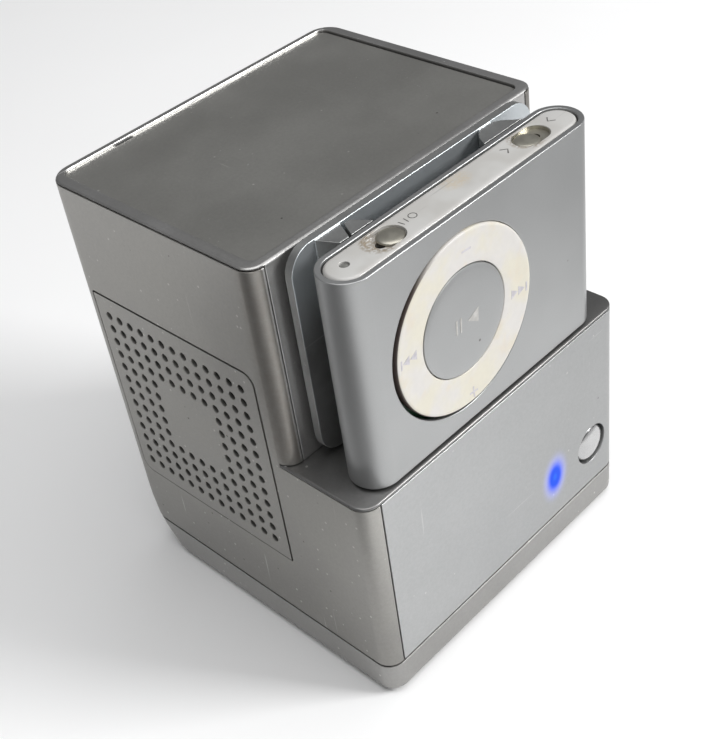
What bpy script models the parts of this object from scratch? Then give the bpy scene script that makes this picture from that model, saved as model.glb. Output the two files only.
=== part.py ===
"""Cube speaker dock with a clip-on audio player docked upside down in its front.

Lengths below are in millimetres: x from the middle (grille sides at -x and +x), y from the
cube's front wall (the player stands in front of it, at -y), z from the base plate's underside.
place() turns them into metres with the origin at the middle of the feet's underside.
"""
import math

import bmesh
import bpy
from mathutils import Vector

MM = 0.001
GAP = 0.3

# dock outline
HALF_W = 23.4
CUBE_TOP = 59.0
BACK_Y = 35.4
SHELF_Y = -11.6
SHELF_Z = 31.75
BASE_TOP = 4.45
SHELL_FOOT = 4.75
FRONT_R = 2.0
BACK_R = 3.0
NOSE_R = 2.2
FOOT_H = 0.8
LIP = 0.35

# grille and speaker
GRILLE_Y = (3.6, 32.15)
GRILLE_Z = (14.6, 43.85)
SPEAKER_Y = 18.05
SPEAKER_Z = 29.1

# controls on the dock's front
BUTTON_X = 17.8
BUTTON_Z = 11.4
BUTTON_R = 2.7
LED_X = 9.7
LED_Z = 11.6

# player
PLAYER_X = (-20.85, 19.66)
PLAYER_Y = (-11.25, -4.85)
PLAYER_Z = (32.15, 59.78)
CASE_WALL = 0.7
RING_X = -4.6
RING_Z = 46.03
RING_R = 11.25
CENTRE_R = 6.65
SWITCH_X = (-11.8, 12.1)
SWITCH_Y = -7.95
STATUS_X = -17.55
PLUG_X = 9.8
PLUG_R = 1.75
PLUG_TOP = 45.5

# clip
CLIP_X = (-19.8, 19.7)
CLIP_Y = (-2.05, -0.95)
CLIP_Z = (32.3, 59.78)
PIN_X = -11.9
PIN_Y = -3.6

MID_Y = (SHELF_Y - 0.3 + BACK_Y) / 2
BODY_Y = (PLAYER_Y[0] + PLAYER_Y[1]) / 2


def place(x, y, z):
    """Millimetres in the dock's own frame to metres in the part's frame."""
    return Vector((x * MM, (y - MID_Y) * MM, (z + FOOT_H) * MM))


# ---------------------------------------------------------------- scene and materials

def clear_scene():
    for old in list(bpy.data.objects):
        bpy.data.objects.remove(old, do_unlink=True)


def collection(name):
    made = bpy.data.collections.new(name)
    bpy.context.scene.collection.children.link(made)
    return made


def material(name, colour, roughness, metallic=0.0):
    made = bpy.data.materials.new(name)
    made.use_nodes = True
    shader = made.node_tree.nodes["Principled BSDF"]
    shader.inputs["Base Color"].default_value = (*colour, 1.0)
    shader.inputs["Roughness"].default_value = roughness
    shader.inputs["Metallic"].default_value = metallic
    return made


SILVER = ((0.55, 0.55, 0.54), 0.38, 0.85)
ALUMINIUM = ((0.62, 0.62, 0.61), 0.33, 0.95)
DARK_METAL = ((0.12, 0.12, 0.12), 0.4, 0.8)
STEEL = ((0.5, 0.5, 0.5), 0.3, 0.95)
BRASS = ((0.75, 0.6, 0.3), 0.3, 0.95)
WHITE = ((0.8, 0.79, 0.76), 0.4, 0.0)
IVORY = ((0.82, 0.78, 0.68), 0.42, 0.0)
BLACK = ((0.02, 0.02, 0.02), 0.5, 0.0)
RUBBER = ((0.03, 0.03, 0.03), 0.9, 0.0)
BOARD = ((0.03, 0.16, 0.07), 0.5, 0.0)
CELL = ((0.32, 0.33, 0.36), 0.45, 0.4)
PAPER = ((0.05, 0.05, 0.055), 0.8, 0.0)
BLUE = ((0.02, 0.05, 0.9), 0.2, 0.0)
GREEN = ((0.2, 0.75, 0.3), 0.3, 0.0)


# ---------------------------------------------------------------- outlines

def arc(cx, cy, r, a0, a1, n):
    """n + 1 points from angle a0 to a1, in degrees."""
    steps = [math.radians(a0 + (a1 - a0) * i / n) for i in range(n + 1)]
    return [(cx + r * math.cos(a), cy + r * math.sin(a)) for a in steps]


def rounded(u, v, radii, n=5):
    """Rectangle with corner radii in the order (u0,v0) (u1,v0) (u1,v1) (u0,v1)."""
    corners = ((u[0], v[0], 1, 1, 180), (u[1], v[0], -1, 1, 270),
               (u[1], v[1], -1, -1, 0), (u[0], v[1], 1, -1, 90))
    points = []
    for (cu, cv, su, sv, start), r in zip(corners, radii):
        if r <= 0:
            points.append((cu, cv))
        else:
            points += arc(cu + su * r, cv + sv * r, r, start, start + 90, n)
    return points


def stadium(x, y, inset=0.0, n=10):
    """Outline with fully round ends, wide in x."""
    r = (y[1] - y[0]) / 2 - inset
    cy = (y[0] + y[1]) / 2
    left = arc(x[0] + inset + r, cy, r, 90, 270, n)
    right = arc(x[1] - inset - r, cy, r, -90, 90, n)
    return left + right


def circle(cx, cy, r, n=24):
    return arc(cx, cy, r, 0, 360, n)[:-1]


# ---------------------------------------------------------------- solids

AXES = {
    "z": lambda a, b, h: (a, b, h),
    "y": lambda a, b, h: (a, h, b),
    "x": lambda a, b, h: (h, a, b),
}


def new_object(name, bm, finish, group, at):
    mesh = bpy.data.meshes.new(name)
    bmesh.ops.recalc_face_normals(bm, faces=bm.faces[:])
    bm.to_mesh(mesh)
    bm.free()
    made = bpy.data.objects.new(name, mesh)
    made.location = at
    if finish is not None:
        mesh.materials.append(material(name, *finish))
    group.objects.link(made)
    return made


def prism(name, outline, low, high, finish, group, axis="z", origin=None):
    """Solid with a flat outline, swept along one axis from low to high."""
    at = place(*origin) if origin else Vector((0, 0, 0))
    turn = AXES[axis]
    bm = bmesh.new()
    lower = [bm.verts.new(place(*turn(a, b, low)) - at) for a, b in outline]
    upper = [bm.verts.new(place(*turn(a, b, high)) - at) for a, b in outline]
    bm.faces.new(lower)
    bm.faces.new(upper)
    count = len(outline)
    for i in range(count):
        j = (i + 1) % count
        bm.faces.new((lower[i], lower[j], upper[j], upper[i]))
    return new_object(name, bm, finish, group, at)


def box(name, x, y, z, finish, group, origin=None):
    outline = [(x[0], y[0]), (x[1], y[0]), (x[1], y[1]), (x[0], y[1])]
    return prism(name, outline, z[0], z[1], finish, group, "z", origin)


def lathe(name, profile, centre, axis, finish, group, steps=24, origin=None):
    """Turned solid: profile is a closed run of (radius, height) about an axis through centre."""
    at = place(*origin) if origin else Vector((0, 0, 0))
    turn = AXES[axis]
    bm = bmesh.new()
    rings = []
    for r, h in profile:
        if r <= 0:
            rings.append([bm.verts.new(place(*turn(centre[0], centre[1], h)) - at)])
            continue
        points = circle(centre[0], centre[1], r, steps)
        rings.append([bm.verts.new(place(*turn(a, b, h)) - at) for a, b in points])
    pairs = list(zip(rings, rings[1:]))
    if len(rings[0]) > 1:
        pairs.append((rings[-1], rings[0]))
    for one, two in pairs:
        for i in range(steps):
            j = (i + 1) % steps
            ends = [one[i % len(one)], one[j % len(one)], two[j % len(two)], two[i % len(two)]]
            face = list(dict.fromkeys(ends))
            if len(face) > 2:
                bm.faces.new(face)
    return new_object(name, bm, finish, group, at)


def combine(target, others, operation, cutters):
    """Live exact boolean against helper solids that live in the cutter collection."""
    for other in others:
        for owner in list(other.users_collection):
            owner.objects.unlink(other)
        cutters.objects.link(other)
        other.display_type = "WIRE"
        other.hide_render = True
        step = target.modifiers.new(other.name, "BOOLEAN")
        step.operation = operation
        step.solver = "EXACT"
        step.object = other
    return target


def cut(target, others, cutters):
    return combine(target, others, "DIFFERENCE", cutters)


def join(target, others, cutters):
    return combine(target, others, "UNION", cutters)


# ---------------------------------------------------------------- dock

def dock_shell(parts, cutters):
    """Cube and lower body in one: top rim, front wall, shelf, back and inner side walls."""
    cube = rounded((-HALF_W, HALF_W), (0, BACK_Y), (FRONT_R, FRONT_R, BACK_R, BACK_R))
    nose = rounded((-HALF_W, HALF_W), (SHELF_Y, BACK_Y), (NOSE_R, NOSE_R, BACK_R, BACK_R))
    shell = prism("dock_shell", nose, SHELL_FOOT, SHELF_Z, SILVER, parts)
    upper = prism("shell_cube", cube, 20, CUBE_TOP, None, cutters)
    join(shell, [upper], cutters)
    hollow = box("shell_hollow", (-21, 21), (1.8, 33.4), (20, 60), None, cutters)
    belly = box("shell_belly", (-21, 21), (-14, 33.4), (3, 30), None, cutters)
    rim = prism("shell_rim", rounded((-21.85, 21.85), (1.25, 34.4), (1.2,) * 4, 3),
                57.5, 61, None, cutters)
    front = box("shell_front", (-30, 30), (-14, -9.9), (3, SHELF_Z - LIP), None, cutters)
    sides = []
    for tag, side in (("left", -1), ("right", 1)):
        x = sorted((side * 22.1, side * 30))
        sides.append(box("shell_side_low_" + tag, x, (-10.5, 33.9), (3, SHELF_Z - LIP), None, cutters))
        sides.append(box("shell_side_up_" + tag, x, (1.85, 33.9), (20, CUBE_TOP - LIP + 0.1),
                         None, cutters))
        through = sorted((side * 20, side * 23))
        window = circle(SPEAKER_Y, SPEAKER_Z, 12.4)
        sides.append(prism("shell_window_" + tag, window, through[0], through[1], None, cutters, "x"))
    plug = prism("shell_plug", circle(PLUG_X, BODY_Y, 2.5, 16), 28, 34, None, cutters)
    socket = prism("shell_socket", rounded((-4.2, 4.2), (13.9, 17.5), (0.6,) * 4, 2),
                   32, 37, None, cutters, "y")
    slope = prism("shell_slope", [(BACK_Y + 2, 3), (BACK_Y - 0.9, 3), (BACK_Y - 0.8, SHELL_FOOT),
                                  (BACK_Y - 0.4, 6.5), (BACK_Y - 0.1, 8.2), (BACK_Y + 0.01, 10),
                                  (BACK_Y + 2, 10)], -30, 30, None, cutters, "x")
    cut(shell, [hollow, belly, rim, front] + sides + [plug, socket, slope], cutters)
    posts = []
    for i, (x, y) in enumerate(screw_spots()):
        posts.append(box("shell_post_%d" % i, (x - 2.2, x + 2.2), (y - 2.2, y + 2.2),
                         (5.2, 11.5), None, cutters))
        if abs(x) < 20:
            posts.append(box("shell_arm_%d" % i, sorted((x, math.copysign(21.5, x))),
                             (y - 1.2, y + 1.2), (7.5, 11.5), None, cutters))
    join(shell, posts, cutters)
    cut(shell, [prism("shell_screw_%d" % i, circle(x, y, 1.3, 12), 4, 10.6, None, cutters)
                for i, (x, y) in enumerate(screw_spots())], cutters)


def screw_spots():
    return [(-17.5, 3.6), (17.5, 3.6), (-17.0, 28.0), (17.0, 28.0)]


def top_panel(parts):
    outline = rounded((-21.55, 21.55), (1.55, 34.1), (1.0,) * 4, 3)
    prism("top_panel", outline, 57.8, 58.6, SILVER, parts)


def side_plan(front_on_arc):
    """Plan outline of a side panel's lower run, on the left side."""
    outer = []
    inner = []
    if front_on_arc:
        outer += [(-21.1, SHELF_Y)]
        outer += arc(-HALF_W + NOSE_R, SHELF_Y + NOSE_R, NOSE_R, 270, 180, 5)
        inner += [(-21.1, -10.2), (-22.4, -10.2)]
    else:
        outer += [(-HALF_W + 0.13, -9.9), (-HALF_W, -9.4)]
        inner += [(-22.4, -9.9)]
    outer += [(-HALF_W, BACK_Y - BACK_R), (-HALF_W + 0.25, 33.6)]
    return outer + [(-22.4, 33.6)] + inner[::-1]


def side_panel(tag, side, parts, cutters):
    """Smooth outer side with a window for the grille."""
    low = [(-side * x, y) for x, y in side_plan(side < 0)]
    up = [(side * 22.4, 2.15), (side * 22.4, 33.6), (side * (HALF_W - 0.25), 33.6),
          (side * HALF_W, BACK_Y - BACK_R), (side * HALF_W, 2.15)]
    panel = prism("side_panel_" + tag, low, SHELL_FOOT, SHELF_Z - LIP - GAP, SILVER, parts)
    upper = prism("side_up_" + tag, up, 25, CUBE_TOP - LIP - 0.2, None, cutters)
    join(panel, [upper], cutters)
    window = rounded((GRILLE_Y[0] - GAP, GRILLE_Y[1] + GAP), (GRILLE_Z[0] - GAP, GRILLE_Z[1] + GAP),
                     (0.4, 1.8, 0.4, 1.8), 4)
    hole = prism("side_window_" + tag, window, side * 20, side * 26, None, cutters, "x")
    slope = prism("side_slope_" + tag, [(BACK_Y - 1.9, 3), (BACK_Y - 1.2, 6.2), (BACK_Y - 0.2, 9),
                                        (BACK_Y + 3, 9), (BACK_Y + 3, 3)],
                  side * 20, side * 26, None, cutters, "x")
    cut(panel, [hole, slope], cutters)


def grille_panel(tag, side, parts):
    """Flat insert; its front top and back bottom corners are rounder than the other two."""
    outline = rounded(GRILLE_Y, GRILLE_Z, (0.2, 1.5, 0.2, 1.5), 4)
    low, high = sorted((side * 22.4, side * (HALF_W + 0.05)))
    prism("grille_panel_" + tag, outline, low, high, SILVER, parts, "x")


def front_panel(parts, cutters):
    """Front fascia; its right end follows the corner of the lower body."""
    cx, cy = HALF_W - NOSE_R, SHELF_Y + NOSE_R
    bend = arc(cx, cy, NOSE_R, 270, 338, 5)
    outline = [(-20.8, SHELF_Y)] + bend + [(cx + 0.9, -10.6), (-20.8, -10.6)]
    panel = prism("front_panel", outline, SHELL_FOOT, SHELF_Z - LIP - GAP, SILVER, parts)
    well = prism("front_well", circle(BUTTON_X, BUTTON_Z, BUTTON_R + GAP), -14, -9, None, cutters, "y")
    cut(panel, [well], cutters)


def base_plate(parts, cutters):
    outline = rounded((-HALF_W, HALF_W), (SHELF_Y, 34.3), (NOSE_R, NOSE_R, 4.6, 4.6))
    base = prism("base_plate", outline, 0, BASE_TOP, SILVER, parts)
    inner = rounded((-HALF_W + 1.8, HALF_W - 1.8), (SHELF_Y + 1.8, 32.4), (0.8, 0.8, 2.8, 2.8), 3)
    tools = [prism("base_hollow", inner, 1.8, 8, None, cutters)]
    for i, (x, y) in enumerate(screw_spots()):
        tools.append(prism("base_hole_%d" % i, circle(x, y, 1.3, 12), -1, 3, None, cutters))
        tools.append(prism("base_sink_%d" % i, circle(x, y, 2.1, 12), -1, 0.8, None, cutters))
    for i, (x, y) in enumerate(foot_spots()):
        tools.append(prism("base_foot_%d" % i, circle(x, y, 3.0, 16), -1, 0.5, None, cutters))
    cut(base, tools, cutters)


def foot_spots():
    return [(-18.0, -5.6), (18.0, -5.6), (-17.8, 20.5), (17.8, 20.5)]


def feet_and_screws(parts):
    for i, (x, y) in enumerate(foot_spots()):
        profile = [(0, -FOOT_H), (2.3, -FOOT_H), (2.7, -0.4), (2.7, 0.2), (0, 0.2)]
        lathe("rubber_foot_%d" % (i + 1), profile, (x, y), "z", RUBBER, parts, 16)
    for i, (x, y) in enumerate(screw_spots()):
        profile = [(0, -0.1), (1.8, -0.1), (1.8, 0.5), (1.0, 0.5), (1.0, 9.6), (0, 10.2)]
        lathe("base_screw_%d" % (i + 1), profile, (x, y), "z", STEEL, parts, 12)


def speaker(tag, side, parts):
    """Moving-coil driver facing the grille: basket, magnet and cone."""
    def run(points):
        return [(r, side * (20.7 - h)) for r, h in points]
    spot = (SPEAKER_Y, SPEAKER_Z)
    basket = [(14.0, 0), (14.0, 1.2), (12.9, 1.4), (8.0, 6.4), (8.0, 7.6), (3.4, 7.6), (3.4, 6.8),
              (6.9, 6.8), (7.0, 6.0), (11.8, 1.2), (12.3, 0)]
    lathe("speaker_basket_" + tag, run(basket), spot, "x", DARK_METAL, parts)
    magnet = [(0, 7.9), (7.4, 7.9), (7.4, 11.6), (0, 11.6)]
    lathe("speaker_magnet_" + tag, run(magnet), spot, "x", STEEL, parts, 20)
    cone = [(0, 1.9), (2.2, 2.3), (3.4, 3.4), (9.8, 0.9), (10.6, 0.5), (11.6, 0.8), (11.5, 1.1),
            (10.6, 0.9), (9.9, 1.3), (3.2, 4.6), (3.0, 5.8), (2.7, 5.8), (2.4, 3.0), (0, 2.4)]
    origin = (side * 20.0, SPEAKER_Y, SPEAKER_Z)
    lathe("speaker_cone_" + tag, run(cone), spot, "x", PAPER, parts, 20, origin)


def dock_electronics(parts, cutters):
    box("amplifier_board", (-17, 17), (30.6, 31.8), (18.2, 44), BOARD, parts)
    pack = rounded((-13.5, 13.5), (1.0, 26.0), (1.5,) * 4, 3)
    prism("dock_battery", pack, 5.6, 12.6, CELL, parts)
    box("control_board", (5.5, 20.7), (-7.6, -6.7), (6.2, 17), BOARD, parts)
    tact = box("tact_switch", (BUTTON_X - 2.1, BUTTON_X + 2.1), (-9.1, -7.9),
               (BUTTON_Z - 2.1, BUTTON_Z + 2.1), BLACK, parts)
    nub = prism("tact_nub", circle(BUTTON_X, BUTTON_Z, 1.0, 12), -9.3, -8.5, None, cutters, "y")
    join(tact, [nub], cutters)
    lamp = [(0, -9.9), (0.9, -9.75), (1.4, -9.2), (1.4, -7.9), (0, -7.9)]
    lathe("status_led", lamp, (LED_X, LED_Z), "y", BLUE, parts, 16)
    shell = prism("charge_socket", rounded((-3.9, 3.9), (14.2, 17.2), (0.4,) * 4, 2),
                  31.0, 35.1, STEEL, parts, "y")
    mouth = prism("socket_mouth", rounded((-3.4, 3.4), (14.7, 16.7), (0.2,) * 4, 1),
                  32.2, 36, None, cutters, "y")
    cut(shell, [mouth], cutters)


def power_button(parts):
    """Domed cap on a short stem, sunk in the front panel's well."""
    profile = [(0, -11.9), (0.9, -11.86), (1.7, -11.7), (2.3, -11.42), (BUTTON_R, -11.0),
               (BUTTON_R, -10.2), (1.2, -10.2), (1.2, -10.0), (0, -10.0)]
    lathe("power_button", profile, (BUTTON_X, BUTTON_Z), "y", ALUMINIUM, parts, 24,
          (BUTTON_X, -11.0, BUTTON_Z))


def plug_and_collar(parts, cutters):
    profile = [(0, 24.3), (1.2, 24.3), (1.2, 31.5), (PLUG_R, 32.1), (PLUG_R, PLUG_TOP - 3.6), (1.35, PLUG_TOP - 3.0),
               (PLUG_R, PLUG_TOP - 2.1), (1.5, PLUG_TOP - 0.9), (0, PLUG_TOP)]
    lathe("jack_plug", profile, (PLUG_X, BODY_Y), "z", BRASS, parts, 16)
    holder = [(1.5, 26), (2.2, 26), (2.2, 31.7), (1.5, 31.7)]
    lathe("plug_collar", holder, (PLUG_X, BODY_Y), "z", BLACK, parts, 16)
    foot = box("plug_bracket", (PLUG_X - 5, PLUG_X + 5), (-9.6, -1.0), (22.2, 23.7), BLACK, parts)
    arm = box("plug_arm", (PLUG_X - 5, PLUG_X + 5), (-2.4, -1.0), (22.2, 29.7), None, cutters)
    join(foot, [arm], cutters)


# ---------------------------------------------------------------- player

def player_case(parts, cutters):
    """Extruded tube with a round hole for the control ring."""
    case = prism("player_case", stadium(PLAYER_X, PLAYER_Y), *PLAYER_Z, ALUMINIUM, parts)
    bore = prism("case_bore", stadium(PLAYER_X, PLAYER_Y, CASE_WALL), 30, 62, None, cutters)
    hole = prism("case_hole", circle(RING_X, RING_Z, RING_R + 0.33, 32), -13, -9.5, None, cutters, "y")
    cut(case, [bore, hole], cutters)


def oblong(cx, cy, length, width, n=6):
    half = length / 2
    return stadium((cx - half, cx + half), (cy - width / 2, cy + width / 2), 0.0, n)


def end_caps(parts, cutters):
    inside = stadium(PLAYER_X, PLAYER_Y, CASE_WALL + 0.25)
    top = prism("switch_end_cap", inside, PLAYER_Z[1] - 2.4, PLAYER_Z[1] - 0.3, WHITE, parts)
    tools = []
    for i, x in enumerate(SWITCH_X):
        tools.append(prism("cap_well_%d" % i, oblong(x, SWITCH_Y, 5.0, 3.4), 58.1, 61, None, cutters))
        slot = oblong(x, SWITCH_Y, 3.2, 1.6, 4)
        tools.append(prism("cap_slot_%d" % i, slot, 56, 59, None, cutters))
    tools.append(prism("cap_light", circle(STATUS_X, BODY_Y + 0.3, 0.75, 12), 56, 61, None, cutters))
    cut(top, tools, cutters)
    low = prism("jack_end_cap", inside, PLAYER_Z[0] + 0.3, PLAYER_Z[0] + 1.6, WHITE, parts)
    jack = prism("cap_jack", circle(PLUG_X, BODY_Y, 2.1, 16), 30, 36, None, cutters)
    cut(low, [jack], cutters)


def slide_switch(name, x, mid, parts, cutters):
    """Oval slider, at mid in its well at x, with a stem through the cap's slot."""
    z = PLAYER_Z[1]
    slider = prism(name, oblong(mid, SWITCH_Y, 2.8, 2.7), z - 1.38, z - 0.62, DARK_METAL, parts,
                   "z", (x, SWITCH_Y, z - 1.0))
    groove = [prism(name + "_groove_%d" % i, [(mid - 0.45 + 0.6 * i, z - 0.8), (mid - 0.2 + 0.6 * i, z),
                                              (mid - 0.7 + 0.6 * i, z)],
                    SWITCH_Y - 2, SWITCH_Y + 2, None, cutters, "y") for i in range(2)]
    cut(slider, groove, cutters)
    stem = box(name + "_stem", (mid - 0.5, mid + 0.5), (SWITCH_Y - 0.45, SWITCH_Y + 0.45),
               (z - 2.9, z - 1.1), None, cutters)
    join(slider, [stem], cutters)


def status_light(parts):
    spot = (STATUS_X, BODY_Y + 0.3)
    lathe("status_light", [(0, 57.0), (0.45, 57.0), (0.45, 59.3), (0, 59.4)], spot, "z", GREEN,
          parts, 12)


def control_ring(parts):
    """Dished ring, highest at its rim, around the centre button."""
    y = PLAYER_Y[0]
    profile = [(CENTRE_R + GAP, y + 0.12), (8.6, y - 0.02), (10.4, y - 0.2), (11.0, y - 0.33),
               (RING_R, y - 0.2), (RING_R, y + 1.0), (CENTRE_R + GAP, y + 1.0)]
    lathe("control_ring", profile, (RING_X, RING_Z), "y", IVORY, parts, 40, (RING_X, y, RING_Z))


def centre_button(parts):
    y = PLAYER_Y[0]
    profile = [(0, y - 0.1), (4.5, y - 0.12), (6.1, y - 0.1), (CENTRE_R, y + 0.1),
               (CENTRE_R, y + 1.0), (0, y + 1.0)]
    lathe("centre_button", profile, (RING_X, RING_Z), "y", ALUMINIUM, parts, 32,
          (RING_X, y, RING_Z))


def player_insides(parts, cutters):
    board = box("logic_board", (-18.4, 5.9), (-9.3, -8.6), (34.3, 56.2), BOARD, parts)
    domes = [prism("dome_%d" % i, circle(RING_X + dx, RING_Z + dz, 1.3, 10), -9.65, -9.0,
                   None, cutters, "y")
             for i, (dx, dz) in enumerate(((0, 0), (8.9, 0), (-8.9, 0), (0, 8.9), (0, -8.9)))]
    join(board, domes, cutters)
    cell = rounded((-17.6, 5.6), (35.2, 55.6), (1.2,) * 4, 2)
    prism("player_battery", cell, -8.3, -5.85, CELL, parts, "y")
    barrel = box("jack_socket", (PLUG_X - 2.6, PLUG_X + 2.6), (BODY_Y - 2.3, BODY_Y + 2.3),
                 (34.1, 47.6), BLACK, parts)
    bore = prism("jack_bore", circle(PLUG_X, BODY_Y, 2.0, 16), 32, 46.4, None, cutters)
    cut(barrel, [bore], cutters)
    for tag, x in zip(("power", "mode"), SWITCH_X):
        box(tag + "_switch_body", (x - 2.2, x + 2.2), (SWITCH_Y - 0.6, SWITCH_Y + 1.6),
            (56.45, 56.75), DARK_METAL, parts)


# ---------------------------------------------------------------- clip

def clip_plate(parts, cutters):
    """Spring clip: plate with press tab, hinge knuckle and gripping jaw, one piece."""
    origin = (PIN_X, PIN_Y, (CLIP_Z[0] + CLIP_Z[1]) / 2)
    outline = rounded(CLIP_X, CLIP_Z, (3.0, 3.0, 3.2, 3.2), 5)
    plate = prism("clip_plate", outline, *CLIP_Y, ALUMINIUM, parts, "y", origin)
    inside = CLIP_Y[0] + 0.5
    wedge = [(-15.9, inside), (-16.0, CLIP_Y[0]), (-14.9, -4.55), (-13.5, -4.55),
             (-12.25, CLIP_Y[0]), (-12.2, inside)]
    knuckle = [(-14.9, inside), (-14.9, -4.3), (-10.6, -4.3), (-10.6, inside)]
    jaw = [(8.2, -4.55), (14.9, -4.55), (14.3, -4.06), (13.4, -2.8), (12.3, CLIP_Y[0]),
           (12.2, inside), (10.4, inside), (10.4, CLIP_Y[0]), (8.8, -3.5)]
    adds = [prism("clip_wedge_top", wedge, 54.6, CLIP_Z[1] - 0.02, None, cutters),
            prism("clip_wedge_low", wedge, CLIP_Z[0] + 0.4, 37.4, None, cutters),
            prism("clip_knuckle_top", knuckle, 49.4, 54.2, None, cutters),
            prism("clip_knuckle_low", knuckle, 37.9, 42.7, None, cutters),
            prism("clip_jaw", jaw, CLIP_Z[0] + 0.4, CLIP_Z[1] - 0.02, None, cutters)]
    join(plate, adds, cutters)
    cut(plate, [prism("clip_bore", circle(PIN_X, PIN_Y, 0.55, 12), 30, 62, None, cutters)], cutters)


def clip_hinge(parts, cutters):
    """Bracket on the player's back with two lugs, the pin and the torsion spring."""
    lug = [(-13.15, -4.55), (-12.0, -2.35), (-11.15, -2.35), (-9.9, -4.55)]
    bracket = prism("clip_bracket", lug, 54.5, CLIP_Z[1] - 0.02, ALUMINIUM, parts)
    low = prism("bracket_low", lug, CLIP_Z[0] + 0.4, 37.5, None, cutters)
    spine = box("bracket_spine", (-10.25, -9.9), (-4.6, -3.9), (33, 59), None, cutters)
    join(bracket, [low, spine], cutters)
    bore = prism("bracket_bore", circle(PIN_X, PIN_Y, 0.55, 12), 34, 58.4, None, cutters)
    cut(bracket, [bore], cutters)
    lathe("clip_pin", [(0, 34.3), (0.45, 34.3), (0.45, 58.1), (0, 58.1)], (PIN_X, PIN_Y), "z",
          STEEL, parts, 10)
    clip_spring(parts)


def clip_spring(parts):
    """Coil around the pin, between the two knuckles."""
    turns, low, high, radius, wire, steps = 5, 43.3, 48.8, 0.95, 0.16, 12
    path = []
    for i in range(turns * steps + 1):
        a = 2 * math.pi * i / steps
        z = low + (high - low) * i / (turns * steps)
        path.append((PIN_X + radius * math.cos(a), PIN_Y + radius * math.sin(a), z))
    bm = bmesh.new()
    rings = []
    for i, (x, y, z) in enumerate(path):
        a = 2 * math.pi * i / steps
        ring = []
        for k in range(5):
            b = 2 * math.pi * k / 5
            out = wire * math.cos(b)
            ring.append(bm.verts.new(place(x + out * math.cos(a), y + out * math.sin(a),
                                           z + wire * math.sin(b))))
        rings.append(ring)
    for one, two in zip(rings, rings[1:]):
        for k in range(5):
            bm.faces.new((one[k], one[(k + 1) % 5], two[(k + 1) % 5], two[k]))
    bm.faces.new(rings[0])
    bm.faces.new(rings[-1])
    new_object("clip_spring", bm, STEEL, parts, Vector((0, 0, 0)))


def build():
    clear_scene()
    parts = collection("cube_speaker_dock_with_player")
    cutters = collection("cutters")
    dock_shell(parts, cutters)
    top_panel(parts)
    for tag, side in (("left", -1), ("right", 1)):
        side_panel(tag, side, parts, cutters)
        grille_panel(tag, side, parts)
        speaker(tag, side, parts)
    front_panel(parts, cutters)
    base_plate(parts, cutters)
    feet_and_screws(parts)
    dock_electronics(parts, cutters)
    power_button(parts)
    plug_and_collar(parts, cutters)
    player_case(parts, cutters)
    end_caps(parts, cutters)
    slide_switch("power_switch", SWITCH_X[0], SWITCH_X[0] + 0.8, parts, cutters)
    slide_switch("mode_switch", SWITCH_X[1], SWITCH_X[1] - 0.8, parts, cutters)
    status_light(parts)
    control_ring(parts)
    centre_button(parts)
    player_insides(parts, cutters)
    clip_plate(parts, cutters)
    clip_hinge(parts, cutters)


build()
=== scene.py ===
"""Looks of the cube speaker dock and its clip-on player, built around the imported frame.

Lengths are in millimetres, measured in the dock's own frame: x from the middle, y from the cube's
front wall, z from the underside of the base plate. piece() places them in the part's frame.
"""
import math

import bmesh
import bpy
from mathutils import Matrix, Vector


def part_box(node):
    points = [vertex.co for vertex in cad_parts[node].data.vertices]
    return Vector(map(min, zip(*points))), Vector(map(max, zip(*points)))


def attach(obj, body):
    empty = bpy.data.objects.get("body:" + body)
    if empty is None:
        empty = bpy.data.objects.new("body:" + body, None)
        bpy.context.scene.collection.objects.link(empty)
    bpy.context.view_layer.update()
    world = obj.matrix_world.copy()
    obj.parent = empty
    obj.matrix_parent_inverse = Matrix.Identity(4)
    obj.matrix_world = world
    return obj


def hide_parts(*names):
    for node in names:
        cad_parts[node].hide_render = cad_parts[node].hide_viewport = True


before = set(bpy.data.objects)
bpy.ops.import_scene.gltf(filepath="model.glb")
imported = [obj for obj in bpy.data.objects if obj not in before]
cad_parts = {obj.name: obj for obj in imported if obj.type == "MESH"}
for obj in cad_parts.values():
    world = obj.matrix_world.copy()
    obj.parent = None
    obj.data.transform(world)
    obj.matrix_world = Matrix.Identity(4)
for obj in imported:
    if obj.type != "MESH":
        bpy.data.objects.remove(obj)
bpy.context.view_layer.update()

MM = 0.001
SHELF_DEPTH = 11.6
base_low, base_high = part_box("base_plate")
WALL_FOOT = Vector((0.0, base_low.y + SHELF_DEPTH * MM, base_low.z))


def span(node):
    """The node's extents in x, y and z."""
    low, high = [(corner - WALL_FOOT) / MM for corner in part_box(node)]
    return [(low[i], high[i]) for i in range(3)]


SHELL_X, SHELL_Y, SHELL_Z = span("dock_shell")
PLATE_X, PLATE_Y, PLATE_Z = span("base_plate")
_, GRILLE_Y, GRILLE_Z = span("grille_panel_right")
CASE_X, CASE_Y, CASE_Z = span("player_case")
RING_X, RING_Y, RING_Z = span("control_ring")
HUB_X, HUB_Y, _ = span("centre_button")
BUTTON_X, BUTTON_Y, BUTTON_Z = span("power_button")
CLIP_X, _, CLIP_Z = span("clip_plate")
LAMP_X, _, LAMP_Z = span("status_led")
CAP_FOOT = span("switch_end_cap")[2][0]
CAP_TOP = CASE_Z[1] - 0.03

# The dock's outside: heights, corner radii, and where its seams run.
HALF_W = SHELL_X[1]
BACK_Y = SHELL_Y[1]
SHELF_Y = SHELL_Y[0]
CUBE_TOP = SHELL_Z[1]
SHELL_FOOT = SHELL_Z[0]
SHELF_Z = 31.75
LIP_Z = SHELF_Z - 0.35
SIDE_TOP = CUBE_TOP - 0.25
SIDE_BACK = 33.9
FRONT_R = 2.0
BACK_R = 3.0
NOSE_R = 2.2
SEAM = 0.14
PANEL_IN = 22.4
CORNER_X = 21.4
OUT_X = 24.0
NOSE_SEAM_X = 21.05

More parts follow.
